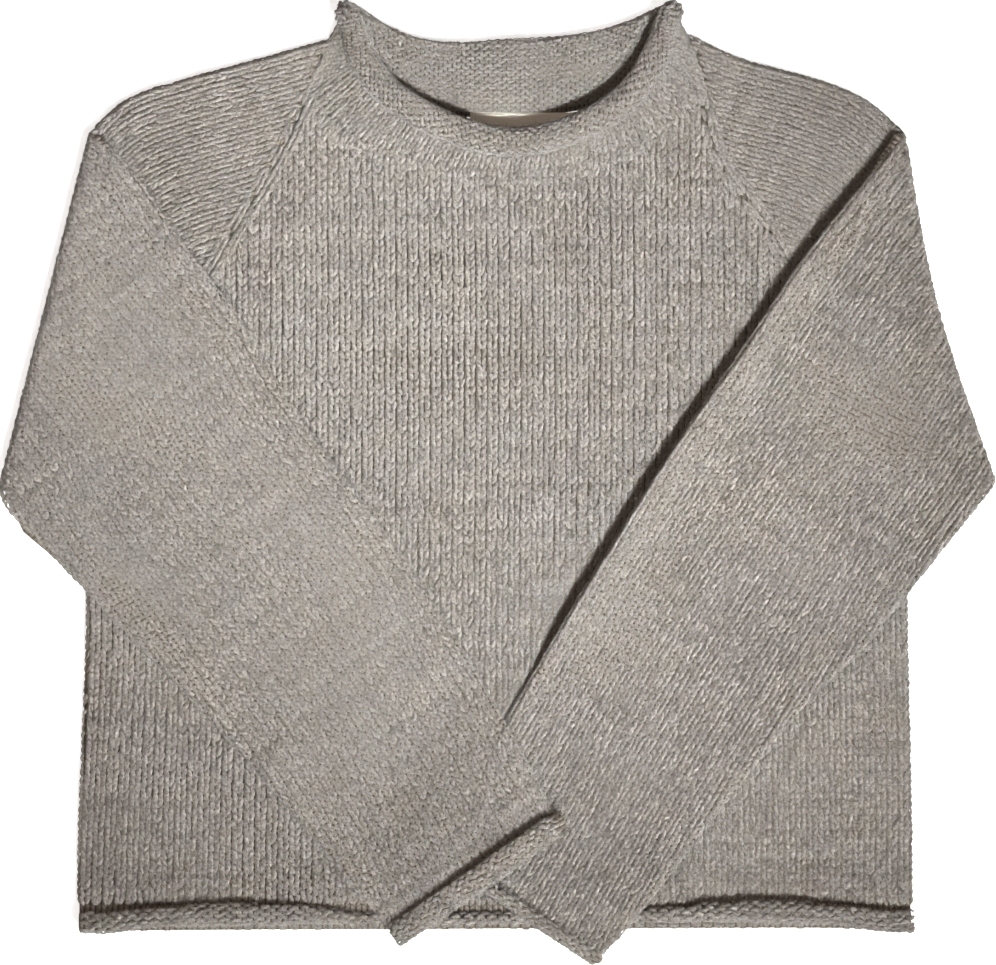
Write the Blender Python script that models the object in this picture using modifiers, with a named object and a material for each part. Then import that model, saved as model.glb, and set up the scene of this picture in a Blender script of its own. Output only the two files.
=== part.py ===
"""A hand-knit raglan sweater laid flat on its back, with both sleeves folded over the front.

The frame is in metres: +X to the wearer's left, +Y towards the neck, +Z up off the surface.
Sizes below are millimetres. Every piece is a wall of knitted fabric: a grid of points on the
middle of the wall, thickened by a Solidify modifier. The wearer's left sleeve is folded first,
the wearer's right sleeve lies over it.
"""

import math

import bpy
import numpy as np
from mathutils import Vector
from mathutils.bvhtree import BVHTree

COLLECTION_NAME = "hand_knit_sweater"
MILLIMETRE = 0.001
# x, y that bring the middle of the whole sweater's box to the origin
CENTRE_SHIFT = (-0.485, 0.015)

WALL = 2.6
GAP = 0.3
SEAM_GAP = 0.25
NECK_SEAM_GAP = 0.6

# Heights of the middle of each wall, and the radius at which a wall turns over onto itself
PITCH = WALL + GAP
BACK_LEVEL = WALL / 2
FRONT_LEVEL = BACK_LEVEL + PITCH
SEAM_LEVEL = (BACK_LEVEL + FRONT_LEVEL) / 2
TURN_RADIUS = PITCH / 2
EDGE_INSET = TURN_RADIUS + WALL / 2
FOLD_HEIGHT = FRONT_LEVEL + TURN_RADIUS
FRONT_FACE = FRONT_LEVEL + WALL / 2
# A rolled edge pressed flat: half its mid-wall width and height
PRESSED = TURN_RADIUS + 0.1

# Rows and columns of the grids
CURVE_STEPS = 12
RAGLAN_STEPS = 6
# Shares of the way from the underarm to the fold at which the sleeve's next rings lie
UNDERARM_SHARES = (0.45, 0.85)
ROLL_STEPS = 8
FOLD_STEPS = 6
FOLDED_STEPS = 14
# Above 1, the folded sleeve's rings crowd towards its cuff
RING_CROWDING = 1.3
# Share of the fold's bow that goes with each ring after the fold
BOW_FADE = 0.35
HALF_SLEEVE_COLUMNS = 9
BODY_COLUMNS = 23
TIP_STATIONS = 2

# The body lies a little higher where its rolled hem is tucked under it
HEM_LIFT = 3.3
HEM_LIFT_START = -236.0
HEM_LIFT_LENGTH = 24.0
BODY_ROWS = (-60.0, -150.0, -236.0, -242.0, -248.0, -254.0, -260.0)
BODY_HALF_WIDTH = 250.6

# The neckband rises to its rolled edge
COLLAR_LIFT = 3.6

# The cuff's lower layer stands on its own roll
CUFF_LIFT = 3.1
CUFF_LIFT_ROWS = 4
# Limits how far a turn stretches where a ring meets the sleeve's edge at a slant
LEAST_SINE = 0.4

# The height map that the folded sleeves follow
MAP_CELL = 2.0
MAP_REACH = 330.0
MAP_WIDEN = 9
MAP_EVEN = 8
MAP_RAY_START = 200.0

# x, y along the neckline where the neckband is picked up, from the wearer's right to left
FRONT_NECKLINE = [
    (-114.1, 239.3),
    (-102.5, 217.0),
    (-66.3, 200.0),
    (-27.0, 190.8),
    (4.9, 187.1),
    (38.7, 190.2),
    (75.5, 201.8),
    (110.0, 221.0),
    (124.5, 242.0),
]
BACK_NECKLINE = [
    (-93.3, 246.6),
    (-59.5, 229.4),
    (1.8, 222.7),
    (69.3, 231.3),
    (107.4, 246.6),
]

# x, y of the hem's two rolls: the line over which each one curls, and its mid-wall half widths
# across the hem (reach) and out of the fabric (rise), with the angle it curls through
FRONT_HEM = [
    # x, y, reach, rise, sweep
    (-247.0, -269.5, 4.6, 2.4, 250),
    (-236.0, -270.0, 4.6, 3.0, 265),
    (-205.0, -265.5, 4.6, 3.6, 280),
    (-150.0, -264.5, 4.8, 3.6, 280),
    (-122.0, -264.5, 4.0, 3.1, 255),
    (-98.0, -266.0, 2.6, 2.3, 210),
    (-76.0, -267.0, PRESSED, PRESSED, 180),
    (0.0, -267.0, PRESSED, PRESSED, 180),
    (78.0, -266.5, PRESSED, PRESSED, 180),
    (100.0, -265.0, 2.6, 2.3, 210),
    (124.0, -263.3, 4.0, 3.1, 255),
    (150.0, -262.5, 4.8, 3.6, 280),
    (205.0, -264.0, 4.6, 3.6, 280),
    (236.0, -268.5, 4.6, 3.0, 265),
    (247.0, -269.0, 4.6, 2.4, 250),
]
BACK_HEM = [
    # x, y, reach, rise, sweep
    (-247.0, -274.0, PRESSED, PRESSED, 180),
    (-205.0, -272.5, PRESSED, PRESSED, 180),
    (0.0, -271.5, PRESSED, PRESSED, 180),
    (205.0, -271.0, PRESSED, PRESSED, 180),
    (247.0, -273.5, PRESSED, PRESSED, 180),
]

# The rolled neckband. Its stations run from a seam to a rim; each one faces up at 0, the
# wearer's left at 90, down at 180 and the wearer's right at -90. Round each tip of the collar
# the band turns over onto itself.
RIGHT_TIP_BEFORE = [
    # seam x, seam y, rim x, rim y, facing, reach, rise, sweep
    (-99.5, 264.5, -84.0, 290.5, -180, PRESSED, PRESSED, 185),
    (-101.3, 267.0, -87.0, 292.0, -135, 2.6, 2.0, 210),
]
RIGHT_TIP_AFTER = [
    (-102.0, 267.5, -88.5, 292.5, -90, 4.0, 2.6, 240),
    (-102.4, 266.8, -87.5, 291.5, -45, 5.0, 3.2, 250),
    (-103.6, 264.0, -85.5, 289.0, 0, 6.0, 3.6, 265),
]
LEFT_TIP = [
    (118.6, 264.0, 100.0, 289.0, 0, 6.0, 3.6, 265),
    (117.4, 266.8, 102.0, 291.5, 45, 5.0, 3.2, 250),
    (117.0, 267.5, 103.0, 292.5, 90, 4.0, 2.6, 240),
    (116.3, 267.0, 101.5, 292.0, 135, 2.6, 2.0, 210),
    (114.5, 264.5, 98.5, 290.5, 180, PRESSED, PRESSED, 185),
]
# x, y of the rims at even steps along each neckline
FRONT_RIMS = [
    (-77.0, 268.0),
    (-66.0, 250.0),
    (-50.0, 237.5),
    (-31.0, 228.0),
    (-9.0, 221.0),
    (12.0, 219.0),
    (34.0, 222.0),
    (54.0, 229.5),
    (70.0, 238.5),
    (83.5, 253.0),
    (93.0, 271.5),
]
BACK_RIMS = [
    (-71.0, 281.5),
    (-49.5, 272.5),
    (-25.0, 269.3),
    (7.0, 271.3),
    (37.5, 273.0),
    (63.0, 277.0),
    (86.0, 284.5),
]
FRONT_ROLL = (7.1, 4.2, 285)
BACK_ROLL = (PRESSED, PRESSED, 185)
FULL_TURN = 360
WALL_FRACTIONS = (0.0, 0.4, 0.75, 1.0)

# Each sleeve's outline, x and y, from the neck to the cuff. The shoulder edge and the lower edge
# run to the fold; the inner and outer edges run on from the fold over the front to the cuff.
RIGHT_SLEEVE = {
    "side": -1,
    "shoulder": [(-106.7, 269.9), (-145.4, 258.9), (-190.8, 246.6), (-225.8, 234.4), (-249.0, 215.0)],
    "front_raglan": [(-114.1, 239.3), (-135.6, 195.7), (-169.9, 138.6), (-238.7, 18.4)],
    "back_raglan": [(-93.3, 246.6), (-128.0, 200.0), (-166.0, 140.0), (-238.7, 18.4)],
    "lower": [(-238.7, 18.4), (-268.0, 10.0), (-303.0, 0.0)],
    "underarm_share": 0.8,
    "fold_bow": 0.0,
    "inner": [(-251.0, 214.5), (-226.4, 192.6), (-192.0, 144.2), (-154.6, 95.1), (-129.4, 51.5),
              (-47.9, -62.0), (3.1, -145.4), (36.5, -208.0)],
    "outer": [(-304.0, 0.0), (-293.3, -23.3), (-250.9, -66.3), (-157.7, -164.4), (-79.1, -256.4),
              (-60.5, -275.0)],
    "roll_reach": (6.0, 6.0),
    "roll_rise": (3.5, 3.5),
    "roll_sweep": (280, 280),
}
LEFT_SLEEVE = {
    "side": 1,
    "shoulder": [(122.7, 271.2), (149.1, 258.9), (194.5, 246.6), (224.5, 234.4), (248.5, 215.0)],
    "front_raglan": [(124.5, 242.0), (137.5, 197.5), (175.5, 142.3), (238.7, 18.4)],
    "back_raglan": [(107.4, 246.6), (132.0, 200.0), (170.0, 140.0), (238.7, 18.4)],
    "lower": [(238.7, 18.4), (270.0, 10.0), (304.0, 0.0)],
    "underarm_share": 0.8,
    "fold_bow": 7.0,
    "inner": [(251.0, 214.5), (222.7, 179.1), (185.9, 133.1), (149.1, 77.9), (118.4, 35.0),
              (88.3, -11.0), (48.5, -74.8), (6.7, -145.4), (-40.0, -224.0)],
    "outer": [(304.9, 0.0), (286.5, -23.3), (254.0, -63.8), (221.5, -103.7), (187.1, -136.8),
              (136.2, -200.0), (81.6, -269.3), (61.0, -291.0)],
    "roll_reach": (3.0, PRESSED),
    "roll_rise": (2.5, PRESSED),
    "roll_sweep": (260, 180),
}
# Share of each sleeve's width, from its lower edge, over which the first roll value holds
ROLL_CHANGE = (0.45, 0.75)

LABEL_SIZE = (66.0, 21.0, 0.6)
LABEL_CENTRE = (16.5, 211.5)
LABEL_BEVEL = 0.2

WOOL_COLOUR = (0.33, 0.29, 0.245, 1.0)
LABEL_COLOUR = (0.62, 0.57, 0.49, 1.0)


def catmull_rom(before, start, end, after, share):
    """Point between start and end on the curve that also heeds the points before and after."""
    return 0.5 * (
        2 * start
        + (end - before) * share
        + (2 * before - 5 * start + 4 * end - after) * share**2
        + (3 * start - before - 3 * end + after) * share**3
    )


def dense_curve(points):
    """Many points on a smooth curve through the given ones, as many between each two."""
    knots = np.array(points, float)
    padded = np.vstack([2 * knots[0] - knots[1], knots, 2 * knots[-1] - knots[-2]])
    steps = np.linspace(0, 1, CURVE_STEPS, endpoint=False)
    dense = [
        catmull_rom(*padded[index:index + 4], share)
        for index in range(len(knots) - 1)
        for share in steps
    ]
    return np.array(dense + [knots[-1]])


def smooth_line(points, fractions):
    """Points at these fractions of the length of a smooth curve through the given ones."""
    dense = dense_curve(points)
    runs = np.linalg.norm(np.diff(dense[:, :2], axis=0), axis=1)
    lengths = np.concatenate([[0], np.cumsum(runs)])
    wanted = np.asarray(fractions) * lengths[-1]
    return np.column_stack([np.interp(wanted, lengths, column) for column in dense.T])


def even_line(points, count):
    """This many points on the curve, as many between each two of the given ones."""
    dense = dense_curve(points)
    wanted = np.linspace(0, len(dense) - 1, count)
    return np.column_stack([np.interp(wanted, range(len(dense)), column) for column in dense.T])


def smooth_step(value):
    """0 below 0, 1 above 1, and an even S between them."""
    value = np.clip(value, 0, 1)
    return value * value * (3 - 2 * value)


def unit(vector):
    return vector / np.linalg.norm(vector)


def hem_lift(y):
    """How far the body rises towards its hem."""
    return HEM_LIFT * smooth_step((HEM_LIFT_START - y) / HEM_LIFT_LENGTH)


def roll_offsets(reach, rise, sweep):
    """Steps of a rolled edge: how far along the fabric and how far out of it each one lies."""
    angles = np.radians(sweep) * np.arange(1, ROLL_STEPS + 1) / ROLL_STEPS
    return reach * np.sin(angles), rise * (1 - np.cos(angles))


def stretched_between(line, first, last):
    """The line with its two ends moved to these points."""
    shares = (line[:, 0] - line[0, 0]) / (line[-1, 0] - line[0, 0])
    moves = (1 - shares)[:, None] * (first - line[0]) + shares[:, None] * (last - line[-1])
    return line + moves


def neckline_row(neckline):
    """Points along a neckline, one for each column of the body."""
    return smooth_line(neckline, np.linspace(0, 1, BODY_COLUMNS))


def body_panel(raglans, neckline, hem, faces_up):
    """Grid of the front or the back: rows from the neckline to the hem, then its rolled edge."""
    out = 1 if faces_up else -1
    shares_across = np.linspace(0, 1, BODY_COLUMNS)
    fractions = np.linspace(0, 1, RAGLAN_STEPS + 1)
    seams = []
    for raglan, side in zip(raglans, (-1, 1)):
        seam = smooth_line(raglan, fractions)
        seam[:, 0] -= side * SEAM_GAP
        seams.append(seam)
    left, right = seams
    top = stretched_between(neckline_row(neckline), left[0], right[0])
    runs = np.linalg.norm(np.diff(left, axis=0), axis=1)
    down = np.concatenate([[0], np.cumsum(runs)]) / runs.sum()
    across = shares_across[:, None]
    rows = []
    for share, first, last in zip(down, left, right):
        upper = left[0] + across * (right[0] - left[0])
        straight = first + across * (last - first)
        rows.append(straight + (1 - share) * (top - upper))
    for y in BODY_ROWS:
        xs = BODY_HALF_WIDTH * (2 * shares_across - 1)
        rows.append(np.column_stack([xs, np.full(BODY_COLUMNS, y)]))
    hem_row = smooth_line(hem, shares_across)
    ends = np.array([[-BODY_HALF_WIDTH, hem_row[0, 1]], [BODY_HALF_WIDTH, hem_row[-1, 1]]])
    rows.append(stretched_between(hem_row[:, :2], *ends))

    grid = []
    for plan in rows:
        level = SEAM_LEVEL + out * TURN_RADIUS + hem_lift(plan[:, 1])
        grid.append(np.column_stack([plan, level]))
    last_row = grid[-1]
    for step in range(ROLL_STEPS):
        row = last_row.copy()
        for column, (reach, rise, sweep) in enumerate(hem_row[:, 2:5]):
            ahead, away = roll_offsets(reach, rise, sweep)
            row[column, 1] -= ahead[step]
            row[column, 2] += away[step] * out
        grid.append(row)
    return np.array(grid)


def skew_factor(edge, along):
    """How much longer a turn over a tube's edge is along a ring than straight across the edge."""
    edge, along = unit(edge), unit(along)
    sine = abs(edge[0] * along[1] - edge[1] * along[0])
    return 1 / max(LEAST_SINE, sine)


def sleeve_rings(shape):
    """The sleeve's rings in plan, from the neck to the cuff.

    Each is a dict: low end of its back half and of its front half, top end, how far it has
    turned over the fold, its share of the fold's bow, and its share of the cuff's lift.
    """
    side = shape["side"]
    fractions = np.linspace(0, 1, RAGLAN_STEPS + 1)
    shoulder = smooth_line(shape["shoulder"], fractions * shape["underarm_share"])
    front_low = smooth_line(shape["front_raglan"], fractions)
    back_low = smooth_line(shape["back_raglan"], fractions)
    front_low[:, 0] += side * SEAM_GAP
    back_low[:, 0] += side * SEAM_GAP
    front_low[-1] = back_low[-1] = front_low[-1] + np.array([side * SEAM_GAP, EDGE_INSET])
    fold_top = np.array(shape["shoulder"][-1])
    fold_low = np.array(shape["lower"][-1])
    fold_line = unit(fold_top - fold_low)
    outward = np.array([fold_line[1], -fold_line[0]]) * side
    top_edge = fold_top - np.array(shape["shoulder"][-2])
    low_edge = fold_low - np.array(shape["lower"][-2])
    axis_top = fold_top - outward * FOLD_HEIGHT
    axis_low = fold_low - outward * FOLD_HEIGHT
    axis_top = axis_top - fold_line * EDGE_INSET * skew_factor(top_edge, fold_line)
    axis_low = axis_low + fold_line * EDGE_INSET * skew_factor(low_edge, fold_line)
    top_skew = skew_factor(top_edge, fold_line)
    low_skew = skew_factor(low_edge, fold_line)

    rings = []

    def add_ring(back, front, top, turn, bow, raised, skews):
        rings.append({
            "back": back, "front": front, "top": top, "turn": turn, "bow": bow,
            "raised": raised, "skews": skews,
        })

    for index in range(RAGLAN_STEPS + 1):
        along = unit(shoulder[index] - back_low[index])
        ahead = shoulder[min(index + 1, RAGLAN_STEPS)] - shoulder[max(index - 1, 0)]
        skew = skew_factor(ahead, along)
        top = shoulder[index] - along * EDGE_INSET * skew
        away = np.zeros(2)
        if index == 0:
            away = np.array([side * 2 * NECK_SEAM_GAP, -NECK_SEAM_GAP])
        add_ring(back_low[index] + away, front_low[index] + away, top + away, 0.0, 0.0, 0.0,
                 (skew, 1.0))
    underarm = rings[-1]
    for share in UNDERARM_SHARES:
        low = underarm["back"] + (axis_low - underarm["back"]) * share
        top = underarm["top"] + (axis_top - underarm["top"]) * share
        skews = (underarm["skews"][0] * (1 - share) + top_skew * share, 1 + (low_skew - 1) * share)
        add_ring(low, low, top, 0.0, share, 0.0, skews)
    for step in range(FOLD_STEPS + 1):
        add_ring(axis_low, axis_low, axis_top, 180.0 * step / FOLD_STEPS, 1.0, 0.0,
                 (top_skew, low_skew))
    folded = 1 - (1 - np.arange(0, FOLDED_STEPS + 1) / FOLDED_STEPS) ** RING_CROWDING
    inner = smooth_line(shape["inner"], folded)
    outer = smooth_line(shape["outer"], folded)
    for index in range(1, FOLDED_STEPS + 1):
        top, low = inner[index], outer[index]
        along = unit(top - low)
        following = min(index + 1, FOLDED_STEPS)
        skews = (skew_factor(inner[following] - inner[index - 1], along),
                 skew_factor(outer[following] - outer[index - 1], along))
        raised = smooth_step((index - FOLDED_STEPS + CUFF_LIFT_ROWS) / CUFF_LIFT_ROWS)
        low = low + along * EDGE_INSET * skews[1]
        add_ring(low, low, top - along * EDGE_INSET * skews[0], 180.0, max(0.0, 1 - BOW_FADE * index),
                 raised, skews)
    return rings, outward


def sleeve_grid(shape, height_over):
    """Rings of one sleeve from the neck to its rolled cuff.

    A ring runs along the sleeve's back half from its lower edge to its top edge, turns over,
    and comes back along the front half. Below the underarm it is closed by a second turn.
    """
    rings, outward = sleeve_rings(shape)
    flat = np.linspace(0, 1, HALF_SLEEVE_COLUMNS)
    turns = np.radians([45, 90, 135])
    radii = [3 * TURN_RADIUS] * len(flat)
    radii += [(2 + math.cos(angle)) * TURN_RADIUS for angle in turns]
    radii += [TURN_RADIUS] * len(flat)
    radii += [(2 - math.cos(angle)) * TURN_RADIUS for angle in turns]
    grid = []
    for ring in rings:
        back, front, top = ring["back"], ring["front"], ring["top"]
        along = unit(top - back)
        top_turn, low_turn = (along * TURN_RADIUS * skew for skew in ring["skews"])
        plan = [back + (top - back) * share for share in flat]
        plan += [top + top_turn * math.sin(angle) for angle in turns]
        plan += [front + (top - front) * share for share in flat[::-1]]
        plan += [back - low_turn * math.sin(angle) for angle in turns]
        sine = math.sin(math.radians(ring["turn"]))
        cosine = math.cos(math.radians(ring["turn"]))
        row = []
        for point, radius in zip(plan, radii):
            share = np.clip(np.dot(point - back, along) / np.linalg.norm(top - back), 0, 1)
            bow = ring["bow"] * shape["fold_bow"] * 4 * share * (1 - share)
            spot = point + outward * (radius * sine - bow)
            height = FOLD_HEIGHT - radius * cosine
            if ring["turn"] == 180.0:
                height += height_over(spot) + CUFF_LIFT * ring["raised"]
            row.append((spot[0], spot[1], height))
        grid.append(row)

    # The rolled cuff curls outwards all round: up on the upper layer, under on the lower one
    along = unit(rings[-1]["top"] - rings[-1]["back"])
    forward = np.array([along[1], -along[0]]) * -shape["side"]
    last = np.array(grid[-1])
    leans = [0.0] * len(flat) + list(turns)
    leans += [math.pi + lean for lean in leans]
    shares = list(flat) + [1.0] * len(turns) + list(flat[::-1]) + [0.0] * len(turns)
    for step in range(ROLL_STEPS):
        row = last.copy()
        for column, (lean, share) in enumerate(zip(leans, shares)):
            change = smooth_step((share - ROLL_CHANGE[0]) / (ROLL_CHANGE[1] - ROLL_CHANGE[0]))
            upper = 0.5 + 0.5 * math.cos(lean)
            values = []
            for key, under in (("roll_reach", PRESSED), ("roll_rise", PRESSED), ("roll_sweep", 180)):
                over = shape[key][0] + (shape[key][1] - shape[key][0]) * change
                values.append(under + (over - under) * upper)
            ahead, away = roll_offsets(*values)
            row[column, :2] += forward * ahead[step] + along * math.sin(lean) * away[step]
            row[column, 2] += math.cos(lean) * away[step]
        grid.append(row)
    return np.array(grid, float)


def neckband_stations():
    """Stations once round the neck: one for each column of the front and of the back, and more
    round the two tips of the collar."""
    rows = list(RIGHT_TIP_AFTER)
    seams, rims = neckline_row(FRONT_NECKLINE), even_line(FRONT_RIMS, BODY_COLUMNS)
    rows += [(*seam, *rim, 0, *FRONT_ROLL) for seam, rim in zip(seams, rims)]
    rows += LEFT_TIP
    seams, rims = neckline_row(BACK_NECKLINE), even_line(BACK_RIMS, BODY_COLUMNS)
    rows += [(*seam, *rim, 180, *BACK_ROLL) for seam, rim in zip(seams[::-1], rims[::-1])]
    full_turn = np.array([0, 0, 0, 0, FULL_TURN, 0, 0, 0])
    rows = np.array(rows + [row + full_turn for row in np.array(RIGHT_TIP_BEFORE)], float)
    padded = np.vstack([rows[-1] - full_turn, rows, rows[:2] + full_turn])
    first_front = len(RIGHT_TIP_AFTER)
    first_back = first_front + BODY_COLUMNS + len(LEFT_TIP)
    stations = []
    for index in range(len(rows)):
        along_body = 0 <= index - first_front < BODY_COLUMNS - 1
        along_body = along_body or 0 <= index - first_back < BODY_COLUMNS - 1
        steps = 1 if along_body else TIP_STATIONS
        for step in range(steps):
            stations.append(catmull_rom(*padded[index:index + 4], step / steps))
    return stations


def neckband_grid():
    """The neckband's stations, each from its seam up to and round its rolled edge."""
    grid = []
    for seam_x, seam_y, rim_x, rim_y, facing, reach, rise, sweep in neckband_stations():
        seam = np.array([seam_x, seam_y])
        up = unit(np.array([rim_x, rim_y]) - seam)
        seam = seam + up * NECK_SEAM_GAP
        curl = np.array([rim_x, rim_y]) - up * (reach + WALL / 2)
        angle = math.radians(facing)
        across = np.array([up[1], -up[0]]) * math.sin(angle)
        station = []
        for share in WALL_FRACTIONS:
            plan = seam + (curl - seam) * share + across * TURN_RADIUS
            height = SEAM_LEVEL + TURN_RADIUS * math.cos(angle) + COLLAR_LIFT * smooth_step(share)
            station.append((plan[0], plan[1], height))
        foot = np.array(station[-1])
        for ahead, away in zip(*roll_offsets(reach, rise, sweep)):
            plan = foot[:2] + up * ahead + across * away
            station.append((plan[0], plan[1], foot[2] + away * math.cos(angle)))
        grid.append(station)
    return np.array(grid).transpose(1, 0, 2)


def fabric_material(name, colour, roughness):
    material = bpy.data.materials.new(name)
    material.use_nodes = True
    shader = material.node_tree.nodes["Principled BSDF"]
    shader.inputs["Base Color"].default_value = colour
    shader.inputs["Roughness"].default_value = roughness
    shader.inputs["Metallic"].default_value = 0.0
    return material


def add_wall(name, grid, collection, closed=False, first_closed_row=0, open_columns=None, even=True):
    """A wall of fabric on a grid of points. A closed grid's last column meets its first, and
    the columns past open_columns are there only from first_closed_row on."""
    row_count, column_count = grid.shape[:2]
    open_columns = open_columns or column_count
    faces = []
    for row in range(row_count - 1):
        whole = closed and row >= first_closed_row
        for column in range(column_count if whole else open_columns - 1):
            following = (column + 1) % column_count
            faces.append((
                row * column_count + column,
                row * column_count + following,
                (row + 1) * column_count + following,
                (row + 1) * column_count + column,
            ))
    used = sorted({corner for face in faces for corner in face})
    renumbered = {old: new for new, old in enumerate(used)}
    points = grid.reshape(-1, 3)[used] * MILLIMETRE
    faces = [tuple(renumbered[corner] for corner in face) for face in faces]
    mesh = bpy.data.meshes.new(name)
    mesh.from_pydata([tuple(point) for point in points], [], faces)
    mesh.validate()
    mesh.shade_smooth()
    mesh.materials.append(fabric_material(name + "_wool", WOOL_COLOUR, 0.95))
    piece = bpy.data.objects.new(name, mesh)
    collection.objects.link(piece)
    solidify = piece.modifiers.new("wall", "SOLIDIFY")
    solidify.thickness = WALL * MILLIMETRE
    solidify.offset = 0.0
    solidify.use_even_offset = even
    solidify.use_quality_normals = True
    return piece


def spread(heights, reach, pick):
    """The map with each cell picked from those up to reach cells away, each way in turn."""
    for axis in (0, 1):
        copies = [np.roll(heights, step, axis) for step in range(-reach, reach + 1)]
        heights = pick(copies, axis=0)
    return heights


def heights_over(pieces):
    """How far the tops of these pieces stand above the front, as a function of x and y.

    The map is widened and then evened out, as a thick fabric laid over them bridges what is
    beneath it, so that it nowhere dips below a piece.
    """
    bpy.context.view_layer.update()
    depsgraph = bpy.context.evaluated_depsgraph_get()
    trees = [BVHTree.FromObject(piece, depsgraph) for piece in pieces]
    marks = np.arange(-MAP_REACH, MAP_REACH + MAP_CELL / 2, MAP_CELL)
    heights = np.full((len(marks), len(marks)), FRONT_FACE)
    down = Vector((0.0, 0.0, -1.0))
    for row, y in enumerate(marks):
        for column, x in enumerate(marks):
            start = Vector((x, y, MAP_RAY_START)) * MILLIMETRE
            for tree in trees:
                hit = tree.ray_cast(start, down)[0]
                if hit is not None:
                    heights[row, column] = max(heights[row, column], hit.z / MILLIMETRE)
    even = spread(spread(heights, MAP_WIDEN, np.max), MAP_EVEN, np.mean)

    def height_over(spot):
        across = (spot[0] + MAP_REACH) / MAP_CELL
        up = (spot[1] + MAP_REACH) / MAP_CELL
        column, row = int(across), int(up)
        a, b = across - column, up - row
        near = even[row, column] * (1 - a) + even[row, column + 1] * a
        far = even[row + 1, column] * (1 - a) + even[row + 1, column + 1] * a
        return near * (1 - b) + far * b - FRONT_FACE

    return height_over


def add_sleeve(name, shape, beneath, collection):
    grid = sleeve_grid(shape, heights_over(beneath))
    open_columns = 2 * HALF_SLEEVE_COLUMNS + 3
    return add_wall(name, grid, collection, True, RAGLAN_STEPS, open_columns, even=False)


def add_neck_label(collection):
    """The blank label sewn inside the back, under the neckband."""
    bpy.ops.mesh.primitive_cube_add(size=1)
    label = bpy.context.object
    label.name = "neck_label"
    label.data.name = "neck_label"
    for vertex in label.data.vertices:
        vertex.co = Vector([c * s * MILLIMETRE for c, s in zip(vertex.co, LABEL_SIZE)])
    height = BACK_LEVEL + WALL / 2 + GAP + LABEL_SIZE[2] / 2
    label.location = Vector((*LABEL_CENTRE, height)) * MILLIMETRE
    label.data.materials.append(fabric_material("label_tape", LABEL_COLOUR, 0.6))
    for owner in list(label.users_collection):
        owner.objects.unlink(label)
    collection.objects.link(label)
    bevel = label.modifiers.new("soft_edges", "BEVEL")
    bevel.width = LABEL_BEVEL * MILLIMETRE
    bevel.segments = 1
    return label


def build():
    for old in list(bpy.data.objects):
        bpy.data.objects.remove(old, do_unlink=True)
    collection = bpy.data.collections.new(COLLECTION_NAME)
    bpy.context.scene.collection.children.link(collection)
    sleeves = (RIGHT_SLEEVE, LEFT_SLEEVE)
    back = body_panel([s["back_raglan"] for s in sleeves], BACK_NECKLINE, BACK_HEM, False)
    front = body_panel([s["front_raglan"] for s in sleeves], FRONT_NECKLINE, FRONT_HEM, True)
    add_wall("back", back, collection)
    front_piece = add_wall("front", front, collection)
    add_wall("neckband", neckband_grid(), collection, closed=True, even=False)
    add_neck_label(collection)
    left_piece = add_sleeve("sleeve_left", LEFT_SLEEVE, [front_piece], collection)
    add_sleeve("sleeve_right", RIGHT_SLEEVE, [front_piece, left_piece], collection)
    for piece in collection.objects:
        piece.location += Vector((*CENTRE_SHIFT, 0.0)) * MILLIMETRE


build()
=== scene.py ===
"""The hand-knit sweater, dressed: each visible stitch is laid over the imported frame.

Sizes are millimetres, in the frame of the part before it was centred, and become metres where
a mesh is made. A region is a function that gives the surface point of any column and row of
its knitting, so a stitch can be laid on it wherever the fabric goes.
"""

import math

import bpy
import numpy as np
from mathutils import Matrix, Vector
from mathutils.bvhtree import BVHTree


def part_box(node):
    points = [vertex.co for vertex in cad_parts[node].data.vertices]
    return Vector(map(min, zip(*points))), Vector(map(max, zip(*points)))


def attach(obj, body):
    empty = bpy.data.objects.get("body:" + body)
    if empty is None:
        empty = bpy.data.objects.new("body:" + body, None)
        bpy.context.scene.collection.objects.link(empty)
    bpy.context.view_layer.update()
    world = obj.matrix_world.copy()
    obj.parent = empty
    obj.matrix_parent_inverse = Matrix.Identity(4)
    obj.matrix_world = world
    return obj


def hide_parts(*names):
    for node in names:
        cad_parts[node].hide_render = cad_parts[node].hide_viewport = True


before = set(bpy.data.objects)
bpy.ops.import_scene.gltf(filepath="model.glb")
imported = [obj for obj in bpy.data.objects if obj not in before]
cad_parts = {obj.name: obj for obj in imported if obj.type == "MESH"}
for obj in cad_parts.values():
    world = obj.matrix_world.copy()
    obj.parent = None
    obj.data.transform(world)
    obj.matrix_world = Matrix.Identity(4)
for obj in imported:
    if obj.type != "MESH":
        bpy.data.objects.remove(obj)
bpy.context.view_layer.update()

MILLIMETRE = 0.001
CENTRE_SHIFT = np.array([-0.485, 0.015, 0.0])

# The walls of the part, and the heights of its layers
HALF_WALL = 1.3
TURN = 1.45
SEAM_LEVEL = 2.75
FRONT_MID = 4.2
EDGE_RADIUS = TURN + HALF_WALL
FOLD_RADIUS = 3 * TURN + HALF_WALL
HEM_LIFT = 3.3
COLLAR_LIFT = 3.6
PRESSED = 1.55

# Stitch sizes: one column and one row of each kind of knitting
BODY_GAUGE = (6.95, 4.58)
SLEEVE_GAUGE = (6.17, 4.25)
BAND_GAUGE = (5.6, 4.0)
HEM_GAUGE = (6.95, 4.4)
CUFF_GAUGE = (6.0, 4.1)

BODY_SIDE = 250.6
ROLL_FREE = -255.5
HEM_TOP = -256.0

FRONT_NECKLINE = [
    (-114.1, 239.3), (-102.5, 217.0), (-66.3, 200.0), (-27.0, 190.8), (4.9, 187.1),
    (38.7, 190.2), (75.5, 201.8), (110.0, 221.0), (124.5, 242.0),
]
BACK_NECKLINE = [(-93.3, 246.6), (-59.5, 229.4), (1.8, 222.7), (69.3, 231.3), (107.4, 246.6)]

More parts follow.
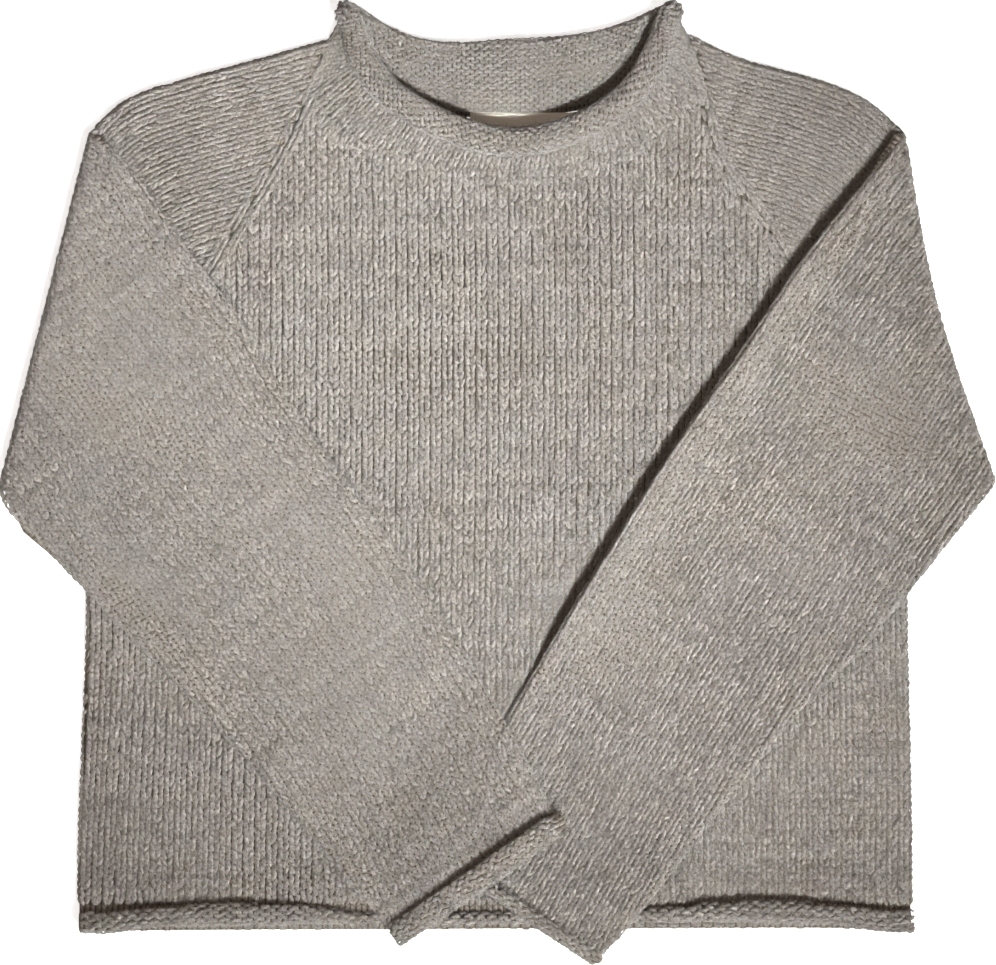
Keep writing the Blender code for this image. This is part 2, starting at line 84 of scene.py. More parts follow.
FRONT_HEM = [
    # x, y, reach, rise
    (-250.6, -269.3, 4.6, 2.4),
    (-236.0, -270.0, 4.6, 3.6),
    (-205.0, -265.5, 4.6, 4.3),
    (-150.0, -264.5, 4.8, 4.3),
    (-122.0, -264.5, 4.0, 3.6),
    (-98.0, -266.0, 2.6, 2.3),
    (-76.0, -267.0, PRESSED, PRESSED),
    (0.0, -267.0, PRESSED, PRESSED),
    (78.0, -266.5, PRESSED, PRESSED),
    (100.0, -265.0, 2.6, 2.3),
    (124.0, -263.3, 4.0, 3.6),
    (150.0, -262.5, 4.8, 4.3),
    (205.0, -264.0, 4.6, 4.3),
    (236.0, -268.5, 4.6, 3.6),
    (250.6, -268.8, 4.6, 2.4),
]
BACK_HEM = [(-250.6, -274.2), (-205.0, -272.5), (0.0, -271.5), (205.0, -271.0), (250.6, -273.7)]

# The collar's stations: seam x, y, rim x, y, facing, and the roll's reach and rise
RIGHT_TIP_BEFORE = [
    (-99.5, 264.5, -84.0, 290.5, -180, PRESSED, PRESSED),
    (-101.3, 267.0, -87.0, 292.0, -135, 2.6, 2.0),
]
RIGHT_TIP_AFTER = [
    (-102.0, 267.5, -88.5, 292.5, -90, 4.0, 2.6),
    (-102.4, 266.8, -87.5, 291.5, -45, 5.0, 3.2),
    (-103.6, 264.0, -85.5, 289.0, 0, 6.0, 3.6),
]
LEFT_TIP = [
    (118.6, 264.0, 100.0, 289.0, 0, 6.0, 3.6),
    (117.4, 266.8, 102.0, 291.5, 45, 5.0, 3.2),
    (117.0, 267.5, 103.0, 292.5, 90, 4.0, 2.6),
    (116.3, 267.0, 101.5, 292.0, 135, 2.6, 2.0),
    (114.5, 264.5, 98.5, 290.5, 180, PRESSED, PRESSED),
]
FRONT_RIMS = [
    (-77.0, 268.0), (-66.0, 250.0), (-50.0, 237.5), (-31.0, 227.0), (-9.0, 219.2),
    (12.0, 216.8), (34.0, 220.2), (54.0, 228.5), (70.0, 238.5), (83.5, 253.0), (93.0, 271.5),
]
BACK_RIMS = [
    (-71.0, 281.5), (-49.5, 272.5), (-25.0, 269.3), (7.0, 271.3), (37.5, 273.0),
    (63.0, 277.0), (86.0, 284.5),
]
FRONT_ROLL = (7.1, 4.2)
BACK_ROLL = (PRESSED, PRESSED)

RIGHT_SLEEVE = {
    "node": "sleeve_right",
    "side": -1,
    "shoulder": [(-106.7, 269.9), (-145.4, 258.9), (-190.8, 246.6), (-225.8, 234.4),
                 (-249.0, 215.0)],
    "raglan": [(-114.1, 239.3), (-135.6, 195.7), (-169.9, 138.6), (-238.7, 18.4)],
    "fold": [(-249.0, 215.0), (-304.0, 0.0)],
    "inner": [(-251.0, 214.5), (-226.4, 192.6), (-192.0, 144.2), (-154.6, 95.1), (-129.4, 51.5),
              (-47.9, -62.0), (3.1, -145.4), (36.5, -208.0)],
    "outer": [(-304.2, -7.0), (-293.3, -23.3), (-250.9, -66.3), (-157.7, -164.4), (-79.1, -256.4),
              (-60.5, -275.0)],
    "roll": [(6.0, 3.5), (6.0, 3.5), (6.0, 3.5)],
    "edge_lift": (3.6, -210.0, 208.0, 50.0),
    "elbow": (-299.0, -13.0, -7.0, -7.0),
}
LEFT_SLEEVE = {
    "node": "sleeve_left",
    "side": 1,
    "shoulder": [(122.7, 271.2), (149.1, 258.9), (194.5, 246.6), (224.5, 234.4), (248.5, 215.0)],
    "raglan": [(124.5, 242.0), (137.5, 197.5), (175.5, 142.3), (238.7, 18.4)],
    "fold": [(248.5, 215.0), (270.0, 105.9), (304.9, 0.0)],
    "inner": [(251.0, 214.5), (222.7, 179.1), (185.9, 133.1), (149.1, 77.9), (118.4, 35.0),
              (88.3, -11.0), (48.5, -74.8), (6.7, -145.4), (-40.0, -224.0)],
    "outer": [(304.9, 0.0), (286.5, -23.3), (254.0, -63.8), (221.5, -103.7), (187.1, -136.8),
              (136.2, -200.0), (81.6, -269.3), (61.0, -291.0)],
    "roll": [(3.0, 2.5), (3.0, 2.5), (PRESSED, PRESSED)],
    "edge_lift": (7.0, -128.0, 226.0, 30.0),
    "elbow": (301.0, -8.0, 2.6, -3.0),
}

# Soft ridges and troughs: two ends, half width and height
CREASES = [
    # x, y, x, y, half width, height
    (-60.0, 196.0, 75.0, 197.0, 9.0, 0.7),
    (-120.0, 80.0, 60.0, 72.0, 22.0, -0.7),
    (-40.0, 120.0, 120.0, 132.0, 25.0, 0.6),
    (-90.0, 20.0, 70.0, -20.0, 24.0, 0.6),
    (-260.0, 60.0, -190.0, 20.0, 18.0, -0.8),
    (-230.0, -30.0, -160.0, -70.0, 20.0, 0.7),
    (190.0, 70.0, 250.0, 30.0, 20.0, -0.8),
    (120.0, -60.0, 190.0, -90.0, 22.0, 0.7),
    (-235.0, -130.0, -150.0, -190.0, 20.0, 0.6),
    (150.0, -190.0, 235.0, -150.0, 22.0, -0.6),
    (-200.0, 190.0, -113.0, 63.0, 13.0, 1.6),
    (-113.0, 63.0, -40.0, -42.0, 13.0, 0.9),
]

MAP_CELL = 2.5
MAP_REACH = 350.0

random = np.random.default_rng(11)


# Curves and fields


def spline(a, b, c, d, t):
    """From b to c as t goes from 0 to 1, smoothly on from a and to d."""
    return 0.5 * (2 * b + (c - a) * t + (2 * a - 5 * b + 4 * c - d) * t**2
                  + (3 * b - a - 3 * c + d) * t**3)


def curve(points, spacing=3.0):
    """A smooth line through the points, in even steps; further columns go with it."""
    knots = np.array(points, float)
    padded = np.vstack([2 * knots[0] - knots[1], knots, 2 * knots[-1] - knots[-2]])
    pieces = []
    for index in range(len(knots) - 1):
        a, b, c, d = padded[index:index + 4]
        t = np.linspace(0, 1, 16, endpoint=False)[:, None]
        pieces.append(spline(a, b, c, d, t))
    dense = np.vstack(pieces + [knots[-1:]])
    lengths = line_lengths(dense)
    count = max(2, int(lengths[-1] / spacing) + 1)
    wanted = np.linspace(0, lengths[-1], count)
    return np.column_stack([np.interp(wanted, lengths, column) for column in dense.T])


def line_lengths(line):
    steps = np.linalg.norm(np.diff(line[:, :2], axis=0), axis=1)
    return np.concatenate([[0], np.cumsum(steps)])


def along_line(line, lengths):
    """Points at these lengths along a line, straight on past its ends."""
    marks = line_lengths(line)
    out = np.column_stack([np.interp(lengths, marks, column) for column in line.T])
    first = (line[1] - line[0]) / (marks[1] - marks[0])
    last = (line[-1] - line[-2]) / (marks[-1] - marks[-2])
    out += np.minimum(lengths, 0)[:, None] * first
    out += np.maximum(lengths - marks[-1], 0)[:, None] * last
    return out


def unit(vectors):
    return vectors / np.linalg.norm(vectors, axis=-1, keepdims=True)


def smooth_step(value):
    value = np.clip(value, 0, 1)
    return value * value * (3 - 2 * value)


def normals_of(line, side):
    """The line's normals in plan, to its left where side is 1 and to its right where it is -1."""
    ahead = unit(np.gradient(line[:, :2], axis=0))
    return np.column_stack([-ahead[:, 1], ahead[:, 0]]) * side


def beyond_line(line, side, spots):
    """How far each spot is past the line, towards its outer side, and that side's direction."""
    normals = normals_of(line, side)
    start, end = line[:-1, :2], line[1:, :2]
    run = end - start
    share = np.einsum("nmk,mk->nm", spots[:, None, :] - start[None], run) / (run**2).sum(1)
    low = np.zeros(len(run))
    high = np.ones(len(run))
    low[0], high[-1] = -1e3, 1e3
    share = np.clip(share, low, high)
    feet = start[None] + share[..., None] * run[None]
    nearest = np.argmin(((spots[:, None, :] - feet) ** 2).sum(2), axis=1)
    rows = np.arange(len(spots))
    foot, part = feet[rows, nearest], np.clip(share[rows, nearest], 0, 1)[:, None]
    normal = unit(normals[nearest] * (1 - part) + normals[nearest + 1] * part)
    return ((spots - foot) * normal).sum(1), normal


def wrap_edge(spots, drop, edge):
    """Turns the spots past an edge down round it. Returns the angle each one has turned."""
    line, side, radius = edge
    inset = line[:, :2] - normals_of(line, side) * radius
    past, normal = beyond_line(inset, side, spots)
    past = np.maximum(past, 0)
    angle = np.minimum(past / radius, math.pi + 0.4)
    spots += normal * (radius * np.sin(angle) - past)[:, None]
    drop += radius * (1 - np.cos(angle))
    return angle


MARKS = np.arange(-MAP_REACH, MAP_REACH + 1, MAP_CELL)
ABOVE_ALL = 200.0


def tree_of(node):
    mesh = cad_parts[node].data
    count = len(mesh.vertices)
    places = np.empty(count * 3)
    mesh.vertices.foreach_get("co", places)
    places = places.reshape(-1, 3) / MILLIMETRE - CENTRE_SHIFT
    faces = [tuple(face.vertices) for face in mesh.polygons]
    return BVHTree.FromPolygons([tuple(place) for place in places], faces)


def top_at(tree, x, y):
    hit = tree.ray_cast(Vector((x, y, ABOVE_ALL)), Vector((0, 0, -1)))[0]
    return np.nan if hit is None else hit.z


def seen_from_above(node):
    """Height of the node's top at each mark, or nan where it has none."""
    tree = tree_of(node)
    return np.array([[top_at(tree, x, y) for x in MARKS] for y in MARKS])


def eroded(mask, cells):
    for axis in (0, 1):
        mask = np.min([np.roll(mask, step, axis) for step in range(-cells, cells + 1)], axis=0)
    return mask


def filled(heights, default):
    """The field with its gaps filled from what is near them, and evened out."""
    field = heights.copy()
    for _ in range(16):
        known = np.isfinite(field)
        if known.all():
            break
        total, count = np.zeros_like(field), np.zeros_like(field)
        for up, across in ((0, 1), (0, -1), (1, 0), (-1, 0)):
            near = np.roll(field, (up, across), (0, 1))
            good = np.isfinite(near)
            total[good] += near[good]
            count += good
        fill = ~known & (count > 0)
        field[fill] = total[fill] / count[fill]
    field[~np.isfinite(field)] = default
    for _ in range(3):
        for axis in (0, 1):
            field = (np.roll(field, 1, axis) + field + np.roll(field, -1, axis)) / 3
    return field


def read_field(field, spots):
    across, up = np.clip((spots[:, :2].T + MAP_REACH) / MAP_CELL, 0, len(MARKS) - 1.01)
    column, row = across.astype(int), up.astype(int)
    a, b = across - column, up - row
    near = field[row, column] * (1 - a) + field[row, column + 1] * a
    far = field[row + 1, column] * (1 - a) + field[row + 1, column + 1] * a
    return near * (1 - b) + far * b


def relief(spots):
    """Slow unevenness of the laid fabric, with its main creases."""
    x, y = spots[:, 0], spots[:, 1]
    height = 0.22 * np.sin(x / 23.0 + 1.1 * np.sin(y / 41.0)) * np.sin(y / 31.0 + 0.8)
    height += 0.3 * np.sin(x / 47.0 - y / 38.0 + 0.5)
    for x0, y0, x1, y1, half_width, rise in CREASES:
        start, run = np.array([x0, y0]), np.array([x1 - x0, y1 - y0])
        share = ((spots - start) @ run) / (run @ run)
        foot = start + np.clip(share, 0, 1)[:, None] * run
        apart = np.linalg.norm(spots - foot, axis=1)
        fade = smooth_step(np.minimum(share, 1 - share) * 4 + 1)
        height += rise * fade * np.exp(-(apart / half_width) ** 2)
    return height


def flare(x, y):
    """How far the body's sides spread towards the hem, for points across its width."""
    spread = np.where(x < 0, 5.5, 3.0) * smooth_step((-60.0 - y) / 190.0)
    return spread * np.clip(x / BODY_SIDE, -1.2, 1.2)


def on_field(field, spots, drop):
    height = read_field(field, spots) + relief(spots) - drop
    return np.column_stack([spots, height])


# Height fields of the layers

# The usual tops of the front and of a folded sleeve, and the heights that tell them apart
FRONT_TOP, FOLDED_TOP = 5.5, 11.3
BESIDE_FRONT, OVER_FRONT = 6.2, 8.2
NEAR_ROLL = 10.0

tops = {name: seen_from_above(name) for name in ("front", "sleeve_left", "sleeve_right")}
grid_x, grid_y = np.meshgrid(MARKS, MARKS)
grid_spots = np.column_stack([grid_x.ravel(), grid_y.ravel()])

front_tops = tops["front"].copy()
front_tops[grid_y < ROLL_FREE] = np.nan
solid_front = eroded(np.isfinite(tops["front"]), 1)
front_field = filled(np.where(solid_front, front_tops, np.nan), FRONT_TOP)


def sleeve_fields(shape):
    top = tops[shape["node"]]
    cuff = np.array([shape["inner"][-1], shape["outer"][-1]])
    past, _ = beyond_line(curve(cuff), -shape["side"], grid_spots)
    near_roll = past.reshape(top.shape) > -NEAR_ROLL
    folded = np.isfinite(top) & (top > OVER_FRONT)
    over = np.where(eroded(folded, 2) & ~near_roll, top, np.nan)
    under = np.where(eroded(np.isfinite(top) & (top < BESIDE_FRONT), 1), top, np.nan)
    return filled(over, FOLDED_TOP), filled(under, FRONT_TOP), folded


folded_fields, shoulder_fields, folded_masks = {}, {}, {}
for shape in (RIGHT_SLEEVE, LEFT_SLEEVE):
    over, under, folded = sleeve_fields(shape)
    folded_fields[shape["node"]] = over
    shoulder_fields[shape["node"]] = under
    folded_masks[shape["node"]] = folded

COVER_MARGIN = 6
covers = {name: eroded(mask, COVER_MARGIN) for name, mask in folded_masks.items()}


def covered(points, by):
    cells = np.rint((points[:, :2].T + MAP_REACH) / MAP_CELL).astype(int)
    column, row = np.clip(cells, 0, len(MARKS) - 1)
    hidden = np.zeros(len(points), bool)
    for name in by:
        hidden |= covers[name][row, column]
    return hidden


# Regions of the knitting

SIDE_LINE = np.array([(238.7, 18.4), (247.5, -25.0), (BODY_SIDE, -60.0), (BODY_SIDE, -275.0)])
BODY_SIDES = [(curve(SIDE_LINE * (side, 1)), side, EDGE_RADIUS) for side in (-1, 1)]
RIDGE_CUT = 3.5
# How far round an edge stitches are laid
UNDER_EDGE = math.radians(172)
# The raglans stop the front's stitches above the first height, the neckline above the second
ARMPIT, NECK_FOOT = 18.0, 150.0
neckline = curve(FRONT_NECKLINE)
raglans = [curve(RIGHT_SLEEVE["raglan"]), curve(LEFT_SLEEVE["raglan"])]


def body_region(columns, rows):
    """The front panel: columns run up and down, rows count up from the hem."""
    x = columns * BODY_GAUGE[0]
    y = HEM_TOP + rows * BODY_GAUGE[1]
    spots = np.column_stack([
        x + 0.9 * np.sin(y / 61.0 + 0.4) * np.cos(x / 90.0),
        y + 1.0 * np.sin(x / 67.0 + 1.0) * smooth_step((y + 250) / 60),
    ])
    plan = spots.copy()
    drop = np.zeros(len(spots))
    angle = np.zeros(len(spots))
    for edge in BODY_SIDES:
        angle = np.maximum(angle, wrap_edge(spots, drop, edge))
    keep = angle < UNDER_EDGE
    for line, side in zip(raglans, (-1, 1)):
        past, _ = beyond_line(line, side, plan)
        keep &= (past < -RIDGE_CUT) | (plan[:, 1] < ARMPIT)
    past, _ = beyond_line(neckline, 1, plan)
    keep &= (past < 2.0) | (plan[:, 1] < NECK_FOOT)
    points = on_field(front_field, spots, drop)
    points[:, 0] += flare(points[:, 0], points[:, 1])
    return points, keep & ~covered(points, ("sleeve_left", "sleeve_right"))


# The lift of a folded sleeve's inner edge, and of its outer edge
EDGE_LIFT_WIDTH = 13.0
EDGE_LIFT_FADE = 50.0
OUTER_LIFT = 2.0
OUTER_LIFT_WIDTH = 8.0
OUTER_LIFT_TOP = -20.0
OUTER_LIFT_END = -275.0


def edge_lift(shape, spots):
    """How far a folded sleeve's two edges stand up off the front."""
    height, lowest, highest, fade = shape["edge_lift"]
    past, _ = beyond_line(curve(shape["inner"]), -shape["side"], spots)
    ends = smooth_step((highest - spots[:, 1]) / fade)
    ends = ends * smooth_step((spots[:, 1] - lowest) / EDGE_LIFT_FADE)
    lift = height * ends * np.exp(-(np.minimum(past, 0) / EDGE_LIFT_WIDTH) ** 2)
    past, _ = beyond_line(curve(shape["outer"]), shape["side"], spots)
    ends = smooth_step((OUTER_LIFT_TOP - spots[:, 1]) / EDGE_LIFT_FADE)
    ends = ends * smooth_step((spots[:, 1] - OUTER_LIFT_END) / EDGE_LIFT_FADE)
    return lift + OUTER_LIFT * ends * np.exp(-(np.minimum(past, 0) / OUTER_LIFT_WIDTH) ** 2)


def sleeve_region(shape):
    """The folded half of a sleeve: columns from its inner edge, rows up from the cuff."""
    side = shape["side"]
    inner = curve(shape["inner"])[::-1]
    outer = curve(shape["outer"])
    fold = curve(shape["fold"])
    axis = unit(inner[-1] - inner[0])
    across = np.array([axis[1], -axis[0]])
    across *= np.sign(across @ (outer[-1] - inner[0]))
    reach = (inner - inner[0]) @ axis
    aside = (inner - inner[0]) @ across
    edges = [(inner[::-1], -side, EDGE_RADIUS), (outer, side, EDGE_RADIUS),
             (fold, side, FOLD_RADIUS)]
    field = folded_fields[shape["node"]]
    by = ("sleeve_right",) if shape["node"] == "sleeve_left" else ()

    def region(columns, rows):
        length = rows * SLEEVE_GAUGE[1]
        width = columns * SLEEVE_GAUGE[0]
        wave = 0.8 * np.sin(length / 55.0 + width / 40.0)
        offset = np.interp(length, reach, aside)
        spots = inner[0] + axis * length[:, None] + across * (offset + width + wave)[:, None]
        drop = np.zeros(len(spots))
        plan = spots.copy()
        angle = np.zeros(len(spots))
        for edge in edges:
            angle = np.maximum(angle, wrap_edge(spots, drop, edge))
        keep = (angle < UNDER_EDGE) & (rows > 0.2)
        points = on_field(field, spots, drop)
        points[:, 2] += edge_lift(shape, plan)
        return points, keep & ~covered(points, by)

    return region


def shoulder_region(shape):
    """What shows of a sleeve's other half: columns go with the shoulder's edge."""
    side = shape["side"]
    shoulder = curve(shape["shoulder"])
    raglan, inner, fold = (curve(shape[name]) for name in ("raglan", "inner", "fold"))
    ends = shoulder[-1] - shoulder[0]
    down = unit(np.array([-ends[1], ends[0]]) * -np.sign(ends[0]))
    field = shoulder_fields[shape["node"]]
    edge = (shoulder, side, EDGE_RADIUS)

    def region(columns, rows):
        width = columns * SLEEVE_GAUGE[0]
        base = along_line(shoulder, rows * SLEEVE_GAUGE[1] + 0 * width)
        spots = base + down * width[:, None]
        plan = spots.copy()
        drop = np.zeros(len(spots))
        angle = wrap_edge(spots, drop, edge)
        past, _ = beyond_line(raglan, -side, plan)
        keep = (angle < UNDER_EDGE) & (past < -RIDGE_CUT)
        inward, _ = beyond_line(inner, -side, plan)
        outward, _ = beyond_line(fold, side, plan)
        keep &= (plan[:, 0] * side > 101) & (inward > -12) & (outward < -1)
        points = on_field(field, spots, drop)
        return points, keep & ~covered(points, (shape["node"],))

    return region


RIDGE_GAUGE = (6.2, 5.2)
RIDGE_RISE = 0.7


def ridge_region(line, field):
    """Columns that run down a raglan line."""
    normals = normals_of(line, 1)
    marks = line_lengths(line)

    def region(columns, rows):
        length = rows * RIDGE_GAUGE[1]
        width = columns * RIDGE_GAUGE[0]
        base = along_line(line, length)
        normal = unit(np.column_stack([np.interp(length, marks, column) for column in normals.T]))
        spots = base + normal * width[:, None]
        points = on_field(field, spots, np.zeros(len(spots)))
        points[:, 2] += RIDGE_RISE
        keep = (length > 3) & (length < marks[-1])
        return points, keep & ~covered(points, ("sleeve_left", "sleeve_right"))

    return region


def even_line(points, count):
    knots = np.array(points, float)
    padded = np.vstack([2 * knots[0] - knots[1], knots, 2 * knots[-1] - knots[-2]])
    wanted = np.linspace(0, len(knots) - 1.0001, count)
    index = wanted.astype(int)
    t = (wanted - index)[:, None]
    a, b, c, d = (padded[index + step] for step in range(4))
    return spline(a, b, c, d, t)


def collar_stations():
    """Rows of seam x, y, rim x, y, facing, reach and rise once round the neck, close together."""
    count = 23
    seams = along_line(neckline, np.linspace(0, line_lengths(neckline)[-1], count))
    rims = even_line(FRONT_RIMS, count)
    rows = list(RIGHT_TIP_AFTER)
    rows += [(*seam, *rim, 0, *FRONT_ROLL) for seam, rim in zip(seams, rims)]
    rows += LEFT_TIP
    back = curve(BACK_NECKLINE)
    seams = along_line(back, np.linspace(0, line_lengths(back)[-1], count))
    rims = even_line(BACK_RIMS, count)
    rows += [(*seam, *rim, 180, *BACK_ROLL) for seam, rim in zip(seams[::-1], rims[::-1])]
    turn = np.array([0, 0, 0, 0, 360, 0, 0])
    rows = np.array(rows + [row + turn for row in np.array(RIGHT_TIP_BEFORE)], float)
    return np.vstack([rows, rows[:1] + turn])


STATION_COUNT = 400
stations = even_line(collar_stations(), STATION_COUNT)


def collar_at(station, climb, inside, turned=None):
    """Points of the neckband at these stations, as far up from the seam as climb says.

    The inside is the purl side, which the roll turns outwards.
    """
    values = [np.interp(station, np.arange(STATION_COUNT), column) for column in stations.T]
    seam, rim = np.column_stack(values[0:2]), np.column_stack(values[2:4])
    facing, reach, rise = np.radians(values[4]), values[5], values[6]
    up = unit(rim - seam)
    seam = seam + up * 1.0
    curl = rim - up * (reach + HALF_WALL)[:, None]
    wall = np.linalg.norm(curl - seam, axis=1)
    share = np.clip(climb / wall, 0, 1)
    aside = np.column_stack([up[:, 1], -up[:, 0]]) * np.sin(facing)[:, None]
    skin = -HALF_WALL if inside else HALF_WALL
    away = TURN + skin
    spots = seam + (curl - seam) * share[:, None] + aside * away
    spots = spots + up * np.minimum(climb, 0)[:, None]
    height = SEAM_LEVEL + away * np.cos(facing) + COLLAR_LIFT * smooth_step(share)
    outer_reach, outer_rise = reach - skin, rise - skin
    angle = np.maximum(climb - wall, 0) / (0.5 * (outer_reach + outer_rise))
    if turned is not None:
        angle = angle + turned
    spots = spots + up * (outer_reach * np.sin(angle))[:, None]
    lifted = outer_rise * (1 - np.cos(angle))
    spots = spots + aside * lifted[:, None]
    height = height + lifted * np.cos(facing)
    return np.column_stack([spots, height]), angle, facing


def collar_marks():
    """Lengths round the neckband at each station, between those of its wall and of its roll."""
    places = np.arange(STATION_COUNT, dtype=float)
    traces = [
        collar_at(places, np.full(STATION_COUNT, 10.0), True)[0],
        collar_at(places, np.full(STATION_COUNT, 30.0), True, math.radians(60))[0],
    ]
    steps = [np.linalg.norm(np.diff(trace, axis=0), axis=1) for trace in traces]
    return np.concatenate([[0], np.cumsum(0.5 * (steps[0] + steps[1]))])


station_marks = collar_marks()
COLLAR_LENGTH = station_marks[-1]
BAND_COLUMNS = int(COLLAR_LENGTH / BAND_GAUGE[0])
BAND_STEP = COLLAR_LENGTH / BAND_COLUMNS


def collar_surface(columns, climb, inside):
    lengths = np.mod(columns * BAND_STEP, COLLAR_LENGTH)
    station = np.interp(lengths, station_marks, np.arange(STATION_COUNT))
    return collar_at(station, climb, inside)


# How far round the neckband's roll its purl stitches start and end
BAND_FRONT_START, BAND_FRONT_END = math.radians(60), math.radians(285)
BAND_BACK_END, BAND_TIP_END = math.radians(175), math.radians(240)


def purl_band_region(columns, rows):
    points, angle, facing = collar_surface(columns, rows * BAND_GAUGE[1], True)
    front = np.cos(facing) > 0.3
    behind = np.cos(facing) < -0.3
    last = np.where(front, BAND_FRONT_END, np.where(behind, BAND_BACK_END, BAND_TIP_END))
    keep = (angle < last) & (~front | (angle > BAND_FRONT_START))
    return points, keep


def knit_band_region(columns, rows):
    points, angle, facing = collar_surface(columns, rows * BODY_GAUGE[1], False)
    return points, (angle <= 0.3) & (np.cos(facing) > -0.2)


def roll_surface(base, forward, foot, reach, rise, angle):
    """Points round a rolled edge. 0 is under it, 90 degrees its outer edge and 180 its top."""
    spots = base + forward * ((reach + HALF_WALL) * np.sin(angle))[:, None]
    height = foot + rise - (rise + HALF_WALL) * np.cos(angle)
    return np.column_stack([spots, height])


ROLL_END = math.radians(238)
DOWN = np.array([0.0, -1.0])
hem_values = np.array(FRONT_HEM)


def hem_region(columns, rows):
    """The front hem's roll: rows count from its outer edge over its top to the crevice."""
    x = columns * HEM_GAUGE[0]
    y, reach, rise = (np.interp(x, hem_values[:, 0], hem_values[:, index]) for index in (1, 2, 3))
    size = 0.5 * (reach + rise) + HALF_WALL
    angle = rows * HEM_GAUGE[1] / size + math.radians(20)
    sag = np.maximum(np.abs(x) - BODY_SIDE, 0)
    base = np.column_stack([x + flare(x, y), y])
    points = roll_surface(base, DOWN, FRONT_MID + HEM_LIFT, reach, rise, angle)
    points[:, 2] -= 0.4 * sag
    keep = (angle < ROLL_END) & (np.abs(x) < BODY_SIDE + 3)
    return points, keep & ~covered(points, ("sleeve_left", "sleeve_right"))


# The back hem's stitches sink this far into their fabric, so its edge stays even
BACK_HEM_SUNK = 0.9
BACK_HEM_MIDDLE = 3.05


def back_hem_region(columns, rows):
    """The back hem's roll, which shows as a narrow band below the front's."""
    x = columns * HEM_GAUGE[0]
    table = np.array(BACK_HEM)
    y = np.interp(x, table[:, 0], table[:, 1])
    radius = PRESSED + HALF_WALL - BACK_HEM_SUNK
    angle = rows * HEM_GAUGE[1] / radius
    base = np.column_stack([x + flare(x, y), y])
    spots = base + DOWN * (radius * np.sin(angle))[:, None]
    height = BACK_HEM_MIDDLE + radius * np.cos(angle)
    keep = (angle > math.radians(-10)) & (angle < math.radians(170)) & (np.abs(x) < BODY_SIDE)
    points = np.column_stack([spots, height])
    return points, keep & ~covered(points, ("sleeve_left", "sleeve_right"))


def cuff_region(shape):
    """A cuff's roll, from its outer edge over its top to the crevice."""
    inner, outer = np.array(shape["inner"][-1]), np.array(shape["outer"][-1])
    length = np.linalg.norm(outer - inner)
    along = unit(outer - inner)
    forward = np.array([along[1], -along[0]]) * shape["side"]
    tree = tree_of(shape["node"])
    marks = np.linspace(2, length - 2, 40)
    roll_tops = np.array([top_at(tree, *(inner + along * mark)) for mark in marks])
    by = ("sleeve_right",) if shape["node"] == "sleeve_left" else ()
    table = np.array(shape["roll"])

    def region(columns, rows):
        distance = columns * CUFF_GAUGE[0]
        share = np.clip(distance / length, 0, 1)
        place = 1 - share
        reach = np.interp(place, (0, 0.45, 0.75), table[:, 0])
        rise = np.interp(place, (0, 0.45, 0.75), table[:, 1])
        angle = rows * CUFF_GAUGE[1] / (0.5 * (reach + rise) + HALF_WALL) + math.radians(20)
        base = inner + along * distance[:, None]
        foot = np.interp(distance, marks, roll_tops) - 2 * rise - HALF_WALL
        points = roll_surface(base, forward, foot, reach, rise, angle)
        end = np.maximum(np.abs(distance - length / 2) - length / 2 + 1, 0)
        points[:, 2] -= 0.5 * end
        keep = (angle < ROLL_END) & (end < 1.5)
        return points, keep & ~covered(points, by)

    return region


# Stitches

# One leg of a knit stitch, the other is its mirror image: across and along in columns and rows,
# then lift and radius in millimetres for a column of COLUMN_NORM
COLUMN_NORM = 6.95
KNIT_LEG = np.array([
    (0.10, -0.62, -0.60, 0.92),
    (0.15, -0.30, 0.30, 1.36),
    (0.235, 0.05, 0.55, 1.56),
    (0.305, 0.40, 0.25, 1.42),
    (0.35, 0.74, -0.65, 0.95),
])
PURL_HEAD = np.array([
    (-0.36, -0.22, -0.80, 0.85),
    (-0.20, -0.04, 0.20, 1.28),
    (0.00, 0.06, 0.55, 1.42),
    (0.20, -0.04, 0.20, 1.28),
    (0.36, -0.22, -0.80, 0.85),
])
PURL_FOOT = PURL_HEAD * np.array([1, -1, 1, 0.95]) + np.array([0.5, 0.5, -0.15, 0])
SECTION = np.radians([-95, -35, 35, 95])
TRIANGLE_LIMIT = 190000


def row_tones(columns, rows):
    """How pale each stitch is: the yarn changes slowly along a row, and from row to row."""
    names, place = np.unique(rows, return_inverse=True)
    tones = random.normal(0, 0.55, len(names))[place]
    for period, strength in ((1.1, 0.35), (3.1, 0.5), (8.3, 0.45)):
        phases = random.uniform(0, 2 * math.pi, len(names))[place]
        tones += strength * np.sin(columns / period + phases)
    return tones


STEP = 0.2
FLOOR_LEVEL = 0.05
MIN_STRETCH, MAX_STRETCH = 0.3, 1.9


